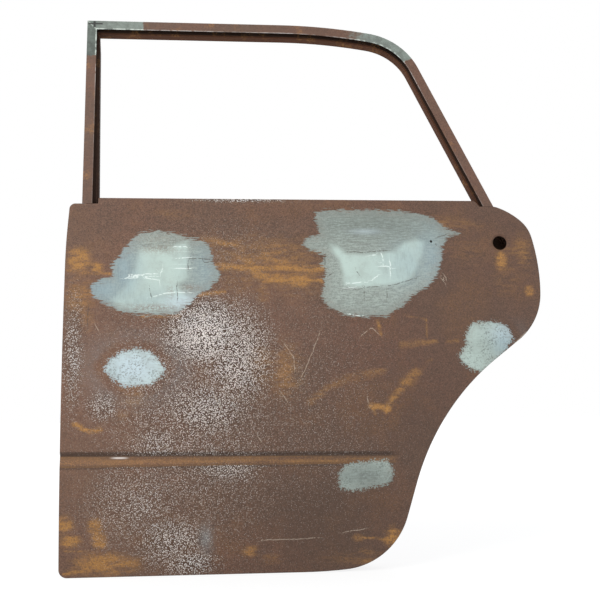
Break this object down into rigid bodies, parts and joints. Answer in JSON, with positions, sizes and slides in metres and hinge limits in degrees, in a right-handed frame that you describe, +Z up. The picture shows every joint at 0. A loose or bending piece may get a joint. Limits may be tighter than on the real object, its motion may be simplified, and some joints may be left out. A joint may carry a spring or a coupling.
{
  "type": "vehicle rear door",
  "caption": "Stripped rear side door shell of a saloon: bulged skin with a swage and a wheel-arch cut, and a slim welded window frame, in sanded brown primer with filler patches.",
  "frame": {"origin": "on the front shut face, midway between the two hinges and in line with their bolts", "axes": "+Z up, +X rearwards along the door, +Y from the outer skin into the cabin"},
  "size_m": [0.9132, 0.1366, 1.0818],
  "materials": {
    "skin_primer": "matte brown primer with sanded filler patches",
    "frame_primer": "matte brown primer over worn metal",
    "bend_primer": "matte grey primer over bare metal",
    "inner_primer": "matte dark brown primer",
    "bracket_primer": "matte dark grey-brown primer"
  },
  "bodies": {
    "root": {"outer_skin": "skin_primer", "belt_outer_rail": "inner_primer", "skin_brace": "inner_primer", "handle_plate": "bracket_primer", "frame_front_upright": "frame_primer", "frame_header": "frame_primer", "frame_rear_corner": "bend_primer", "frame_rear_upright": "frame_primer", "hinge_pillar": "inner_primer", "bottom_rail": "inner_primer", "wheel_arch_rail": "inner_primer", "lock_pillar": "inner_primer", "hinge_plate_upper": "bracket_primer", "hinge_plate_lower": "bracket_primer", "check_strap_plate": "bracket_primer", "lock_plate": "bracket_primer", "inner_panel": "inner_primer", "waist_rail_inner": "inner_primer", "front_glass_guide": "bracket_primer", "rear_glass_guide": "bracket_primer", "front_guide_bracket": "bracket_primer", "rear_guide_bracket": "bracket_primer"}
  },
  "joints": []
}
